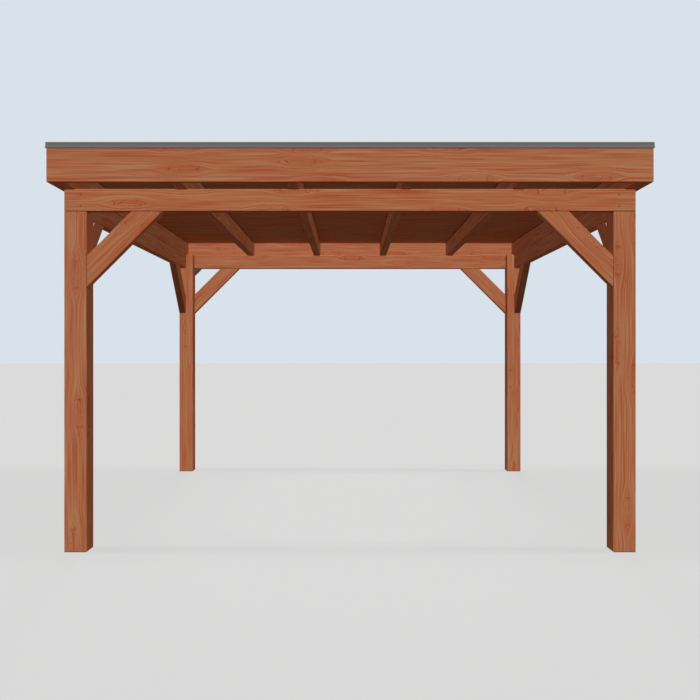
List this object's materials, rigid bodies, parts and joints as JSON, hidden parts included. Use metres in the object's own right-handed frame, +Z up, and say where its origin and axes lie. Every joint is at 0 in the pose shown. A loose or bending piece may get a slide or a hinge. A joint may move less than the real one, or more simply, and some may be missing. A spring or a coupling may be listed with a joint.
{
  "type": "flat-roofed timber patio cover",
  "caption": "Free-standing open timber patio cover: square corner posts, lapped ring beams, knee braces, rafters and a boarded flat roof with deep fascia, metal edge trim and a rear downpipe.",
  "frame": {"origin": "middle of the whole outline at ground level, under the roof's centre", "axes": "+Z up, -Y towards the front with the roof's overhang, +Y towards the rear with the downpipe, +X to the right seen from the front"},
  "size_m": [3.8052, 4.0779, 2.6139],
  "materials": {
    "post_wood": "planed softwood, red-brown stain, matt",
    "beam_wood": "planed softwood, red-brown stain, matt",
    "brace_wood": "planed softwood, red-brown stain, matt",
    "rafter_wood": "planed softwood, red-brown stain, matt",
    "deck_wood": "matched softwood boards, red-brown stain, matt",
    "fascia_wood": "planed softwood boards, red-brown stain, matt",
    "roof_rubber": "smooth roofing rubber, matt",
    "edge_trim": "mid grey powder-coated aluminium, satin",
    "rainwater_goods": "dark grey plastic, satin"
  },
  "bodies": {
    "root": {"front_left_post": "post_wood", "front_right_post": "post_wood", "rear_left_post": "post_wood", "rear_right_post": "post_wood", "front_beam": "beam_wood", "rear_beam": "beam_wood", "left_beam": "beam_wood", "right_beam": "beam_wood", "front_left_brace": "brace_wood", "front_right_brace": "brace_wood", "rear_left_brace": "brace_wood", "rear_right_brace": "brace_wood", "left_front_brace": "brace_wood", "left_rear_brace": "brace_wood", "right_front_brace": "brace_wood", "right_rear_brace": "brace_wood", "rafter_1": "rafter_wood", "rafter_2": "rafter_wood", "rafter_3": "rafter_wood", "rafter_4": "rafter_wood", "rafter_5": "rafter_wood", "rafter_6": "rafter_wood", "roof_deck": "deck_wood", "front_fascia": "fascia_wood", "rear_fascia": "fascia_wood", "left_fascia": "fascia_wood", "right_fascia": "fascia_wood", "roof_membrane": "roof_rubber", "front_edge_trim": "edge_trim", "rear_edge_trim": "edge_trim", "left_edge_trim": "edge_trim", "right_edge_trim": "edge_trim", "rain_outlet": "rainwater_goods", "rain_hopper": "rainwater_goods", "downpipe_bends": "rainwater_goods", "downpipe": "rainwater_goods", "upper_pipe_clip": "rainwater_goods", "lower_pipe_clip": "rainwater_goods"}
  },
  "joints": []
}
